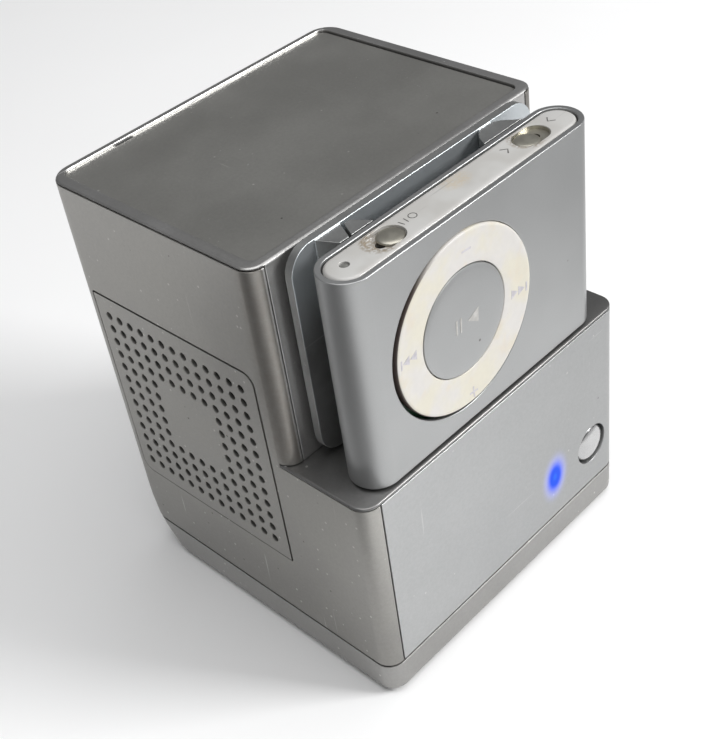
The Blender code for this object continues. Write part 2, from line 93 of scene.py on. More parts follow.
# The dock's inside: half width, back wall, and how deep the side and front panels are let in.
INNER_X = 21.0
INNER_BACK = 33.4
SIDE_RECESS_X = 22.1
NOSE_RECESS_Y = -10.2
DRIVER_R = 12.4

# The grille: a square field of holes with a blank square left in its middle.
HOLE_ROWS = 13
HOLE_PITCH = 2.0
HOLE_R = 0.53
HOLE_FLARE = 0.08
BLANK_ROWS = range(4, 9)
GRILLE_MIDDLE = (18.05, 29.05)
GRILLE_SKIN = 0.35
GRILLE_PROUD = 0.05

# The player: its switch wells (power, mode), the wells' half sizes, the wheel's bore.
WELLS = [(-11.8, -7.95), (12.1, -7.95)]
WELL_HALF = (2.5, 1.7)
SLOT_HALF = (1.3, 0.6)
WELL_DEPTHS = (0.5, 1.4)
WHEEL_BORE_R = 11.5
KNOB_HALF = (1.6, 1.55)

# How metallic the satin lacquer is, and how far the lit spot spreads across and up.
LACQUER_METAL = 0.88
GLOW_HALF = (1.4, 2.15)

# Near-black brown, painted as shade along the wheel's left edge.
RING_EDGE_SHADE = (0.035, 0.018, 0.015)


def middle(pair):
    return (pair[0] + pair[1]) / 2


# ---------------------------------------------------------------- solids in millimetres

def turn_to(bm, axis):
    """A solid made upright along z, laid along x or y instead."""
    rows = {"x": ((0, 0, 1), (1, 0, 0), (0, 1, 0)), "y": ((1, 0, 0), (0, 0, 1), (0, 1, 0))}
    if axis != "z":
        bmesh.ops.transform(bm, matrix=Matrix(rows[axis]).to_4x4(), verts=bm.verts[:])
    bmesh.ops.recalc_face_normals(bm, faces=bm.faces[:])
    return bm


def bevel(bm, edges, width, steps=4):
    bmesh.ops.bevel(bm, geom=edges, offset=width, offset_type="OFFSET", segments=steps, profile=0.5,
                    affect="EDGES", clamp_overlap=False, material=-1)
    return bm


def slab(u, v, h, radii=(0, 0, 0, 0), axis="z", steps=8):
    """Block with rounded corners in the order (u0,v0) (u1,v0) (u1,v1) (u0,v1), along h."""
    bm = bmesh.new()
    bmesh.ops.create_cube(bm, size=1.0)
    size = (u[1] - u[0], v[1] - v[0], h[1] - h[0])
    bmesh.ops.scale(bm, vec=size, verts=bm.verts[:])
    bmesh.ops.translate(bm, vec=(middle(u), middle(v), middle(h)), verts=bm.verts[:])
    for corner, r in zip(((u[0], v[0]), (u[1], v[0]), (u[1], v[1]), (u[0], v[1])), radii):
        if r > 0:
            sharp = [e for e in bm.edges
                     if all((p.co.xy - Vector(corner)).length < 1e-4 for p in e.verts)]
            bevel(bm, sharp, r, steps)
    return turn_to(bm, axis)


def disc(centre, r, h, axis="z", steps=32, r_high=None):
    bm = bmesh.new()
    bmesh.ops.create_cone(bm, cap_ends=True, segments=steps, radius1=r,
                          radius2=r if r_high is None else r_high, depth=h[1] - h[0])
    bmesh.ops.translate(bm, vec=(*centre, middle(h)), verts=bm.verts[:])
    return turn_to(bm, axis)


def oblong(u, v, h, inset=0.0, axis="z", steps=48):
    """Solid with fully round ends, long in u, drawn in all round by inset."""
    r = (v[1] - v[0]) / 2 - inset
    bm = bmesh.new()
    bmesh.ops.create_circle(bm, cap_ends=True, segments=steps, radius=r,
                            matrix=Matrix.Rotation(math.pi / steps, 4, "Z"))
    for p in bm.verts:
        p.co.x += (u[1] - inset - r) if p.co.x > 0 else (u[0] + inset + r)
    bmesh.ops.translate(bm, vec=(0, middle(v), h[0]), verts=bm.verts[:])
    grown = bmesh.ops.extrude_face_region(bm, geom=bm.faces[:])
    top = [p for p in grown["geom"] if isinstance(p, bmesh.types.BMVert)]
    bmesh.ops.translate(bm, vec=(0, 0, h[1] - h[0]), verts=top)
    close_foot = [e for e in bm.edges if e.is_boundary]
    if close_foot:
        bmesh.ops.contextual_create(bm, geom=close_foot)
    return turn_to(bm, axis)


def sheet_prism(points, h, axis="z"):
    """Flat outline pushed out along h."""
    bm = bmesh.new()
    face = bm.faces.new([bm.verts.new((a, b, h[0])) for a, b in points])
    grown = bmesh.ops.extrude_face_region(bm, geom=[face], use_keep_orig=True)
    top = [p for p in grown["geom"] if isinstance(p, bmesh.types.BMVert)]
    bmesh.ops.translate(bm, vec=(0, 0, h[1] - h[0]), verts=top)
    return turn_to(bm, axis)


def stacked(levels, steps=8):
    """Solid through rounded outlines, one for each (z, x span, y span, corner radii)."""
    bm = bmesh.new()
    loops = []
    for z, u, v, radii in levels:
        loop = []
        corners = ((u[0], v[0], 1, 1), (u[1], v[0], -1, 1),
                   (u[1], v[1], -1, -1), (u[0], v[1], 1, -1))
        for i, ((a, b, across, up), r) in enumerate(zip(corners, radii)):
            for k in range(steps + 1):
                turn = math.radians(180 + 90 * i + 90 * k / steps)
                loop.append(bm.verts.new((a + across * r + r * math.cos(turn),
                                          b + up * r + r * math.sin(turn), z)))
        loops.append(loop)
    for low, high in zip(loops, loops[1:]):
        for i in range(len(low)):
            j = (i + 1) % len(low)
            bm.faces.new((low[i], low[j], high[j], high[i]))
    bm.faces.new(loops[0][::-1])
    bm.faces.new(loops[-1])
    return turn_to(bm, "z")


def turned(profile, centre, axis, steps=64):
    """Solid of revolution; the profile is a run of (radius, height)."""
    bm = bmesh.new()
    run = [bm.verts.new((r, 0, h)) for r, h in profile]
    edges = [bm.edges.new(pair) for pair in zip(run, run[1:])]
    if profile[0][0] > 0:
        edges.append(bm.edges.new((run[-1], run[0])))
    bmesh.ops.spin(bm, geom=run + edges, cent=(0, 0, 0), axis=(0, 0, 1), dvec=(0, 0, 0),
                   angle=2 * math.pi, steps=steps, use_merge=True, use_duplicate=False)
    bmesh.ops.remove_doubles(bm, verts=bm.verts[:], dist=1e-4)
    bmesh.ops.translate(bm, vec=(*centre, 0), verts=bm.verts[:])
    return turn_to(bm, axis)


def rim(bm, chosen, width, steps=4):
    """Rounds the edges whose two ends both pass the test."""
    return bevel(bm, [e for e in bm.edges if all(chosen(p.co) for p in e.verts)], width, steps)


def helper(bm):
    mesh = bpy.data.meshes.new("helper")
    bm.to_mesh(mesh)
    bm.free()
    made = bpy.data.objects.new("helper", mesh)
    bpy.context.scene.collection.objects.link(made)
    return made


def combine(bm, others, operation="DIFFERENCE"):
    """Exact boolean of closed solids, returned as one bmesh."""
    body = helper(bm)
    tools = [helper(other) for other in others]
    for tool in tools:
        step = body.modifiers.new("step", "BOOLEAN")
        step.operation, step.solver, step.object = operation, "EXACT", tool
    graph = bpy.context.evaluated_depsgraph_get()
    mesh = bpy.data.meshes.new_from_object(body.evaluated_get(graph))
    made = bmesh.new()
    made.from_mesh(mesh)
    bpy.data.meshes.remove(mesh)
    for used in [body] + tools:
        old = used.data
        bpy.data.objects.remove(used)
        bpy.data.meshes.remove(old)
    bmesh.ops.remove_doubles(made, verts=made.verts[:], dist=1e-4)
    bmesh.ops.dissolve_limit(made, angle_limit=math.radians(0.2), verts=made.verts[:],
                             edges=made.edges[:])
    return made


def gather(parts):
    """Several solids that don't touch, as one bmesh."""
    whole = bmesh.new()
    for part in parts:
        mesh = bpy.data.meshes.new("part")
        part.to_mesh(mesh)
        part.free()
        whole.from_mesh(mesh)
        bpy.data.meshes.remove(mesh)
    return whole


EDGE_ANGLE = math.radians(34)


def piece(name, bm, finish, body, replaces=(), edge=0.12, steps=2):
    """Places a finished solid in the part's frame, rounds its edges and sets what it rides on."""
    bmesh.ops.scale(bm, vec=(MM, MM, MM), verts=bm.verts[:])
    bmesh.ops.translate(bm, vec=WALL_FOOT, verts=bm.verts[:])
    for face in bm.faces:
        face.smooth = True
    for e in bm.edges:
        e.smooth = len(e.link_faces) == 2 and e.calc_face_angle() < EDGE_ANGLE
    mesh = bpy.data.meshes.new(name)
    bm.to_mesh(mesh)
    bm.free()
    mesh.materials.append(finish)
    made = bpy.data.objects.new(name, mesh)
    bpy.context.scene.collection.objects.link(made)
    if edge:
        rounding = made.modifiers.new("edges", "BEVEL")
        rounding.width = edge * MM
        rounding.segments = steps
        rounding.limit_method = "ANGLE"
        rounding.angle_limit = EDGE_ANGLE
        rounding.use_clamp_overlap = False
        rounding.harden_normals = True
    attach(made, body)
    if replaces:
        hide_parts(*replaces)
    return made


# ---------------------------------------------------------------- finishes

class Amount:
    """A shader number that varies; arithmetic on it adds Math nodes."""

    def __init__(self, finish, socket):
        self.finish, self.socket = finish, socket

    def _do(self, operation, *values):
        node = self.finish.add("ShaderNodeMath", {"operation": operation},
                               {i: v for i, v in enumerate(values)})
        return Amount(self.finish, node.outputs[0])

    def __add__(self, other):
        return self._do("ADD", self, other)

    def __sub__(self, other):
        return self._do("SUBTRACT", self, other)

    def __rsub__(self, other):
        return self._do("SUBTRACT", other, self)

    def __mul__(self, other):
        return self._do("MULTIPLY", self, other)

    def __truediv__(self, other):
        return self._do("DIVIDE", self, other)

    def __pow__(self, other):
        return self._do("POWER", self, other)

    def __abs__(self):
        return self._do("ABSOLUTE", self)

    __radd__ = __add__
    __rmul__ = __mul__

    def at_least(self, least):
        return self._do("MAXIMUM", self, least)

    def step(self, low, high):
        """0 at low and 1 at high, smooth between."""
        node = self.finish.add("ShaderNodeMapRange", {"interpolation_type": "SMOOTHSTEP"},
                               {"Value": self, "From Min": low, "From Max": high})
        return Amount(self.finish, node.outputs[0])


class Finish:
    """One procedural material on the piece's Object coordinates."""

    def __init__(self, name, roughness=0.5, metallic=0.0, constants=()):
        self.material = bpy.data.materials.new(name)
        self.material.use_nodes = True
        self.tree = self.material.node_tree
        self.shader = self.tree.nodes["Principled BSDF"]
        self.shader.inputs["Roughness"].default_value = roughness
        self.shader.inputs["Metallic"].default_value = metallic
        for socket, value in constants:
            self.shader.inputs[socket].default_value = value
        place = self.add("ShaderNodeTexCoord").outputs["Object"]
        shift = self.add("ShaderNodeVectorMath", {"operation": "SUBTRACT"},
                         {0: place, 1: tuple(WALL_FOOT)}).outputs[0]
        self.spot = self.add("ShaderNodeVectorMath", {"operation": "SCALE"},
                             {0: shift, "Scale": 1 / MM}).outputs[0]
        split = self.add("ShaderNodeSeparateXYZ", {}, {0: self.spot})
        self.x, self.y, self.z = [Amount(self, split.outputs[i]) for i in range(3)]

    def add(self, kind, settings=(), inputs=()):
        """Any node: its settings are set first, then its sockets' values or links."""
        node = self.tree.nodes.new(kind)
        for name, value in dict(settings).items():
            setattr(node, name, value)
        for name, value in dict(inputs).items():
            self.feed(node.inputs[name], value)
        return node

    def feed(self, socket, value):
        if isinstance(value, Amount):
            value = value.socket
        if isinstance(value, bpy.types.NodeSocket):
            self.tree.links.new(value, socket)
        elif socket.type == "RGBA" and len(value) == 3:
            socket.default_value = (*value, 1.0)
        else:
            socket.default_value = value

    def stretched(self, stretch):
        if stretch == (1, 1, 1):
            return self.spot
        return self.add("ShaderNodeVectorMath", {"operation": "MULTIPLY"},
                        {0: self.spot, 1: stretch}).outputs[0]

    def noise(self, per_mm, detail=2.0, stretch=(1, 1, 1), rough=0.5):
        node = self.add("ShaderNodeTexNoise", {},
                        {"Vector": self.stretched(stretch), "Scale": per_mm, "Detail": detail,
                         "Roughness": rough})
        return Amount(self, node.outputs[0])

    def cells(self, per_mm, stretch=(1, 1, 1)):
        """Distance from the cell's point, and a random number for each cell."""
        node = self.add("ShaderNodeTexVoronoi", {},
                        {"Vector": self.stretched(stretch), "Scale": per_mm})
        tint = self.add("ShaderNodeSeparateColor", {}, {0: node.outputs["Color"]})
        return Amount(self, node.outputs["Distance"]), Amount(self, tint.outputs[0])

    def specks(self, per_mm, share, size):
        """Mask of small spots in a share of the cells."""
        near, pick = self.cells(per_mm)
        return (1 - near.step(size * 0.5, size)) * (1 - pick.step(share - 0.02, share))

    def scratches(self, per_mm, long_axis, thin=0.74):
        """Mask of fine lines that run mostly along one axis."""
        stretch = [1.0, 1.0, 1.0]
        stretch[long_axis] = 0.035
        lines = self.noise(per_mm, 1.0, tuple(stretch)).step(thin, thin + 0.05)
        return lines * self.noise(0.11, 1.0).step(0.48, 0.62)

    def blend(self, factor, one, two):
        node = self.add("ShaderNodeMix", {"data_type": "RGBA"}, {0: factor, 6: one, 7: two})
        return node.outputs[2]

    def shade(self, colour, amount):
        """Colour made lighter or darker by a varying factor."""
        grey = self.add("ShaderNodeCombineXYZ", {}, {0: amount, 1: amount, 2: amount}).outputs[0]
        return self.add("ShaderNodeVectorMath", {"operation": "MULTIPLY"},
                        {0: colour, 1: grey}).outputs[0]

    def so_far(self, name="Base Color"):
        """What already feeds one of the shader's sockets, to build on."""
        return self.shader.inputs[name].links[0].from_socket

    def colour(self, value):
        self.feed(self.shader.inputs["Base Color"], value)

    def roughness(self, value):
        self.feed(self.shader.inputs["Roughness"], value)

    def metal(self, value):
        self.feed(self.shader.inputs["Metallic"], value)

    def bump(self, height, strength, depth=0.02):
        node = self.add("ShaderNodeBump", {},
                        {"Strength": strength, "Distance": depth * MM, "Height": height})
        self.feed(self.shader.inputs["Normal"], node.outputs[0])


def silver_paint(name, light, dark, roughness, scratch_axis=2, wear=1.0, painted_light=None):
    """Satin silver lacquer: fine flake, clouding, dust specks, thin scratches.

    Its last argument gives the factor of painted light and shade by which the tone changes from
    place to place.
    """
    f = Finish(name, roughness, LACQUER_METAL)
    clouds = f.noise(0.09, 3.0).step(0.3, 0.7)
    flake = f.noise(5.5, 2.0)
    grain = f.noise(2.3, 3.0, rough=0.7)
    tone = f.blend(clouds, dark, light)
    amount = flake * 0.12 + grain * 0.22 + 0.83
    tone = f.shade(tone, amount * painted_light(f) if painted_light else amount)
    lines = f.scratches(1.9, scratch_axis) * wear
    cross = f.scratches(2.3, (scratch_axis + 1) % 3, 0.76) * wear
    pale = f.specks(0.55, 0.20, 0.11) * wear
    nick = f.specks(0.42, 0.16, 0.085) * wear
    tone = f.blend((lines + cross) * 0.35, tone, (0.86, 0.86, 0.84))
    tone = f.blend(pale * 0.5, tone, (0.8, 0.79, 0.76))
    tone = f.blend(nick * 0.75, tone, (0.05, 0.045, 0.04))
    f.colour(tone)
    f.roughness(roughness + clouds * 0.05 + (flake - 0.5) * 0.08 + lines * 0.12)
    f.bump(flake * 0.5 - lines - nick, 0.12)
    return f


def shell_painted_light(f):
    """Painted shade on the shelf, a darker top rim, painted light on the front wall and a painted
    highlight along the rim's rear edge.
    """
    # Painted shade: the shelf is darkened.
    shelf = 1 - abs(f.z - 31.6).step(0.2, 0.4)
    # Painted light: the front wall above the shelf is lightened.
    wall = (1 - f.y.step(0.1, 0.5)) * f.z.step(31.9, 32.3)
    top = f.z.step(58.4, 58.7)
    # Painted highlight: the rim's rear edge is made up to twice as bright.
    rear_highlight = (1 - abs(f.y - 34.38).step(0.04, 0.12)) * top
    return (1 - shelf * 0.5) * (1 - top * 0.16) * (wall * 0.2 + 1) * (rear_highlight + 1)


def side_painted_shade(f):
    """Painted shade: the sides grow darker towards the base, and at the cube's front corner."""
    height = f.z.step(1.0, 36.0) * 0.33 + 0.60
    # Painted shade on the fillet at the cube's front corner.
    corner = (1 - f.y.step(0.3, 2.2)) * f.z.step(31.5, 33.0)
    return height * (1 - corner * 0.2)


def front_painted_shade(f):
    """Painted shade: the front panel grows a little darker towards the button's side."""
    return 0.99 - f.x.step(-20.0, 22.0) * 0.15


def side_paint():
    """The side plates' lacquer: painted brown shade by the front corner, and a painted highlight
    with worn paint chips along the front edge.
    """
    f = silver_paint("side_silver", (0.46, 0.45, 0.425), (0.42, 0.41, 0.39), 0.38,
                     painted_light=side_painted_shade)
    tone = f.so_far()
    above = f.z.step(31.5, 33.0)
    patch = f.noise(1.1, 3.0)
    # Painted shade: a mottled brown darkening on the fillet by the cube's front corner.
    painted_corner_shade = (1 - f.y.step(1.6, 3.4)) * above * (patch.step(0.2, 0.8) * 0.5 + 0.25)
    tone = f.blend(painted_corner_shade * 0.5, tone, (0.26, 0.225, 0.19))
    # Painted highlight, broken by worn paint chips, along the wrapped front edge.
    edge = (1 - abs(f.x + 21.5).step(0.06, 0.26)) * (1 - f.y.step(0.1, 0.5)) * above
    tone = f.blend(edge * (patch * 0.7 + 0.3), tone, (0.96, 0.96, 0.95))
    f.colour(tone)
    return f


def top_paint():
    """The top's lacquer: a short black line by the rear rim, a rubbed near corner."""
    f = silver_paint("top_silver", (0.385, 0.38, 0.36), (0.365, 0.36, 0.34), 0.40, scratch_axis=1)
    line = (1 - abs(f.x + 12.5).step(1.1, 1.6)) * f.y.step(33.9, 34.1)
    corner_far = (f.x + 21.5) ** 2.0 + (f.y - 1.5) ** 2.0
    rubbed = (1 - corner_far.step(2.0, 60.0)) * f.noise(0.9, 3.0)
    tone = f.blend(rubbed * 0.35, f.so_far(), (0.55, 0.54, 0.51))
    f.colour(f.blend(line * 0.95, tone, (0.01, 0.01, 0.01)))
    f.roughness(Amount(f, f.so_far("Roughness")) + line * 0.5)
    f.metal(LACQUER_METAL - line * LACQUER_METAL)
    return f


def plain_finish(name, one, two, per_mm, roughness, metallic=0.0, relief=0.1, constants=()):
    """Two tones of one colour with a fine surface."""
    f = Finish(name, roughness, metallic, constants)
    cloud = f.noise(per_mm, 3.0)
    fine = f.noise(per_mm * 7, 2.0)
    f.colour(f.blend(cloud.step(0.35, 0.65), one, two))
    f.roughness(roughness + (fine - 0.5) * 0.15)
    f.bump(fine, relief)
    return f


def lit_panel_paint():
    """The front panel's lacquer, with the blue light that shines through it."""
    f = silver_paint("front_silver", (0.445, 0.45, 0.45), (0.42, 0.425, 0.425), 0.36, wear=0.7,
                     painted_light=front_painted_shade)
    across = (f.x - middle(LAMP_X)) / GLOW_HALF[0]
    up = (f.z - middle(LAMP_Z)) / GLOW_HALF[1]
    far = (across * across + up * up) ** 0.5
    core = 1 - far.step(0.6, 1.2)
    halo = (1 - far.step(0.6, 2.5)) ** 2.0
    heart = 1 - far.step(0.1, 0.4)
    f.colour(f.blend(1 - far.step(0.6, 1.6), f.so_far(), (0.0, 0.0, 0.0)))
    f.metal(LACQUER_METAL + core * 0.12)
    glow = f.blend(halo, (0, 0, 0), (0.10, 0.16, 0.95))
    glow = f.blend(core, glow, (0.0, 0.085, 0.92))
    glow = f.blend(heart * 0.5, glow, (0.01, 0.20, 1.0))
    f.feed(f.shader.inputs["Emission Color"], glow)
    f.shader.inputs["Emission Strength"].default_value = 1.0
    return f


def case_metal():
    """Blasted, anodised aluminium with a few knocks."""
    f = Finish("case_aluminium", 0.40, 0.9)
    cloud = f.noise(0.07, 2.0).step(0.3, 0.7)
    grain = f.noise(6.5, 2.0)
    tone = f.shade(f.blend(cloud, (0.395, 0.40, 0.40), (0.43, 0.435, 0.435)), grain * 0.12 + 0.94)
    nick = f.specks(0.36, 0.16, 0.08)
    line = f.scratches(1.6, 2, 0.77)
    tone = f.blend(nick * 0.7, tone, (0.10, 0.09, 0.08))
    tone = f.blend(line * 0.3, tone, (0.9, 0.9, 0.89))
    f.colour(tone)
    f.roughness(0.39 + cloud * 0.04 + (grain - 0.5) * 0.1)
    f.bump(grain * 0.5 - nick - line * 0.5, 0.14)
    return f


def ring_plastic():
    """Aged white plastic: ivory and paler patches, fine dirt, painted shade along the left edge."""
    f = Finish("ring_ivory", 0.42, 0.0, [("Coat Weight", 0.15), ("Coat Roughness", 0.2)])
    patch = f.noise(0.22, 3.0).step(0.38, 0.62)
    small = f.noise(1.4, 3.0)
    tone = f.blend(patch, (0.60, 0.57, 0.48), (0.585, 0.565, 0.54))
    warm = f.noise(0.35, 2.0).step(0.55, 0.7) * 0.5
    tone = f.blend(warm, tone, (0.59, 0.52, 0.41))
    tone = f.shade(tone, small * 0.10 + 0.95)
    dirt = f.specks(0.8, 0.10, 0.08)
    tone = f.blend(dirt * 0.35, tone, (0.35, 0.31, 0.26))
    across, up = f.x - middle(RING_X), f.z - middle(RING_Z)
    far = (across * across + up * up) ** 0.5
    # Painted shade: the ring's outer edge darkened towards the lower left.
    edge = far.step(11.07, 11.17) * (1 - (across + up * 0.5).step(-4, 3))
    f.colour(f.blend(edge * 0.95, tone, RING_EDGE_SHADE))
    f.roughness(0.40 + small * 0.1)
    f.bump(small, 0.05)
    return f


def cap_plastic():
    """White end cap, with brown dirt by the switch wells and a stain between them."""
    f = Finish("cap_white", 0.3, 0.0, [("Coat Weight", 0.3), ("Coat Roughness", 0.12)])
    grain = f.noise(3.0, 3.0)
    cloud = f.noise(0.25, 2.0).step(0.35, 0.65)
    tone = f.blend(cloud, (0.47, 0.46, 0.44), (0.52, 0.515, 0.50))
    for x, y in WELLS:
        along = (abs(f.x - x) - (WELL_HALF[0] - WELL_HALF[1])).at_least(0.0)
        across = f.y - y
        far = (along * along + across * across) ** 0.5
        ring = (1 - far.step(1.75, 2.45)) * grain.step(0.35, 0.6)
        side = (f.x - x).step(1.5, -1.5)
        tone = f.blend(ring * side * 0.75, tone, (0.20, 0.15, 0.09))
    stain = 1 - (((f.x - 0.4) / 2.2) ** 2.0 + ((f.y + 7.0) / 1.5) ** 2.0).step(0.2, 1.3)
    tone = f.blend(stain * grain.step(0.2, 0.7) * 0.6, tone, (0.50, 0.42, 0.30))
    scuff = f.scratches(2.6, 0, 0.72)
    tone = f.blend(scuff * 0.5, tone, (0.30, 0.29, 0.28))
    f.colour(tone)
    f.roughness(0.28 + grain * 0.1 + scuff * 0.2)
    f.bump(grain - scuff, 0.06)
    return f


def clip_metal():
    """The clip's satin aluminium: clouded, scratched, with a painted pale reflection on its outer
    face.
    """
    f = Finish("clip_aluminium", 0.4, 0.9)
    grain = f.noise(4.0, 3.0)
    cloud = f.noise(0.3, 2.0).step(0.3, 0.7)
    tone = f.shade(f.blend(cloud, (0.35, 0.355, 0.35), (0.42, 0.425, 0.42)), grain * 0.2 + 0.9)
    line = f.scratches(1.7, 0, 0.72)
    # Painted reflection: the plate's outer face blended towards pale blue grey.
    face = (1 - abs(f.y + 2.05).step(0.03, 0.12)) * f.z.step(46.0, 57.0)
    tone = f.blend(face * 0.9, tone, (0.82, 0.87, 0.90))
    f.colour(f.blend(line * 0.4, tone, (0.8, 0.8, 0.8)))
    f.roughness(0.36 + grain * 0.1)
    f.bump(grain * 0.6 - line, 0.16)
    return f


def board_mask():
    """Circuit board: solder mask over copper tracks and round pads."""
    f = Finish("board_green", 0.4, 0.0)
    near, pick = f.cells(0.55)
    pads = (1 - near.step(0.16, 0.2)) * pick.step(0.5, 0.52)
    tracks = f.noise(0.9, 0.0, (1, 0.25, 0.25)).step(0.5, 0.53)
    tone = f.blend(tracks * 0.6, (0.012, 0.085, 0.035), (0.03, 0.16, 0.07))
    f.colour(f.blend(pads, tone, (0.62, 0.50, 0.25)))
    f.bump(tracks * 0.5 + pads, 0.3)
    return f


def carbon_cloth():
    """Black acoustic cloth behind the grille, woven."""
    f = Finish("grille_cloth", 0.9, 0.0, [("Specular IOR Level", 0.08)])
    warp = f.add("ShaderNodeTexWave", {"bands_direction": "Y"}, {"Vector": f.spot, "Scale": 1.3})
    weft = f.add("ShaderNodeTexWave", {"bands_direction": "Z"}, {"Vector": f.spot, "Scale": 1.3})
    weave = Amount(f, warp.outputs[1]) * Amount(f, weft.outputs[1])
    f.colour(f.blend(weave, (0.004, 0.004, 0.004), (0.018, 0.018, 0.018)))
    f.bump(weave, 0.5)
    return f


def plain_metal(name, one, two, per_mm, roughness, relief):
    return plain_finish(name, one, two, per_mm, roughness, 0.95, relief)


SHELL_SILVER = silver_paint("shell_silver", (0.51, 0.505, 0.50), (0.48, 0.475, 0.465), 0.34,
                            painted_light=shell_painted_light)
TOP_SILVER = top_paint()
SIDE_SILVER = side_paint()
FRONT_SILVER = lit_panel_paint()
BASE_SILVER = silver_paint("base_silver", (0.355, 0.35, 0.34), (0.32, 0.315, 0.305), 0.38,
                           scratch_axis=0)
CASE_METAL = case_metal()
RING_PLASTIC = ring_plastic()
CLIP_METAL = clip_metal()
CAP_PLASTIC = cap_plastic()
CLOTH = carbon_cloth()
BOARD = board_mask()
BUTTON_METAL = plain_metal("button_satin", (0.50, 0.50, 0.50), (0.55, 0.55, 0.55), 0.3, 0.22, 0.01)
STEEL = plain_metal("plain_steel", (0.42, 0.42, 0.42), (0.55, 0.55, 0.54), 0.8, 0.32, 0.12)
BRASS = plain_metal("plug_gold", (0.72, 0.56, 0.26), (0.80, 0.65, 0.34), 0.7, 0.24, 0.06)
SWITCH_METAL = plain_finish("switch_dark", (0.46, 0.44, 0.38), (0.55, 0.53, 0.46), 0.9, 0.38,
                            metallic=0.92, relief=0.04)
BLACK = plain_finish("black_moulding", (0.012, 0.012, 0.013), (0.022, 0.022, 0.022), 0.7, 0.5,
                     relief=0.2)
RUBBER = plain_finish("foot_rubber", (0.018, 0.018, 0.018), (0.035, 0.034, 0.033), 1.1, 0.85,
                      relief=0.4)
BASKET = plain_finish("basket_enamel", (0.03, 0.03, 0.03), (0.05, 0.05, 0.05), 0.6, 0.45,
                      metallic=0.3, relief=0.2)
CELL = plain_finish("cell_foil", (0.30, 0.31, 0.34), (0.38, 0.39, 0.42), 0.35, 0.38,
                    metallic=0.6, relief=0.3)
PAPER = plain_finish("cone_paper", (0.035, 0.035, 0.038), (0.06, 0.06, 0.065), 1.6, 0.85,
                     relief=0.6)
PRINT = plain_finish("printed_grey", (0.42, 0.40, 0.43), (0.52, 0.50, 0.53), 1.5, 0.6,
                     relief=0.05)
CAP_PRINT = plain_finish("cap_print", (0.05, 0.05, 0.05), (0.12, 0.115, 0.11), 1.5, 0.6,
                         relief=0.05)
HUB_PRINT = plain_finish("worn_print", (0.44, 0.43, 0.41), (0.52, 0.51, 0.49), 1.5, 0.5,
                         metallic=0.4, relief=0.05)
BLUE_LENS = plain_finish("blue_lens", (0.01, 0.02, 0.6), (0.02, 0.05, 0.9), 1.0, 0.2)
LIGHT_PIPE = plain_finish("light_pipe", (0.14, 0.14, 0.13), (0.20, 0.20, 0.19), 1.0, 0.35)


# ---------------------------------------------------------------- dock

def lower_form():
    """The lower body: its rear corners grow rounder and draw in towards the base."""
    levels = []
    for z, back, r in ((SHELL_FOOT, 0.35, 3.4), (6.5, 0.2, 3.2), (8.2, 0.05, 3.05),
                       (10.0, 0.0, BACK_R), (SHELF_Z, 0.0, BACK_R)):
        levels.append((z, (-HALF_W, HALF_W), (SHELF_Y, BACK_Y - back), (NOSE_R, NOSE_R, r, r)))
    return stacked(levels)


def upper_form():
    """The cube above the shelf."""
    return slab((-HALF_W, HALF_W), (0, BACK_Y), (20, CUBE_TOP), (FRONT_R, FRONT_R, BACK_R, BACK_R))


def shell():
    """Cube and lower body in one, hollowed, with recesses for the panels let into it."""
    upper = upper_form()
    rim(upper, lambda p: p.z > CUBE_TOP - 0.01, 0.42, 5)
    lower = lower_form()
    rim(lower, lambda p: p.z > SHELF_Z - 0.01, 0.2, 3)
    body = combine(upper, [lower], "UNION")
    inner = (-INNER_X, INNER_X)
    upper_room = slab(inner, (1.8, INNER_BACK), (20, 60))
    lower_room = slab(inner, (-14, INNER_BACK), (3, 30))
    top_recess = slab((-21.85, 21.85), (1.25, 34.4), (57.5, 61), (1.2,) * 4, steps=5)
    nose_recess = slab((-30, 30), (-14, NOSE_RECESS_Y), (3, LIP_Z))
    plug_bore = disc((9.8, middle(CASE_Y)), 2.5, (28, 34))
    socket_mouth = slab((-4.2, 4.2), (13.9, 17.5), (32, 37), (0.6,) * 4, "y", 3)
    cuts = [upper_room, lower_room, top_recess, nose_recess, plug_bore, socket_mouth]
    for side in (-1, 1):
        outer = sorted((side * SIDE_RECESS_X, side * 30))
        cuts.append(slab(outer, (-10.9, SIDE_BACK), (3, LIP_Z)))
        cuts.append(slab(outer, (2.0 - SEAM / 2, SIDE_BACK), (20, SIDE_TOP)))
        corner = sorted((side * (CORNER_X - SEAM), side * 30))
        cuts.append(slab(corner, (-1, 2.2), (SHELF_Z, SIDE_TOP)))
        wall = sorted((side * 20, side * 23))
        cuts.append(disc((middle(GRILLE_Y), 29.1), DRIVER_R, wall, "x", 48))
    body = combine(body, cuts)
    piece("dock_body", body, SHELL_SILVER.material, "dock", ["dock_shell"], 0.09)


def top_plate():
    plate = slab((-21.82, 21.62), (1.28, 34.37), (57.8, 58.7), (1.15,) * 4, steps=5)
    piece("top_plate", plate, TOP_SILVER.material, "dock", ["top_panel"], 0.03)


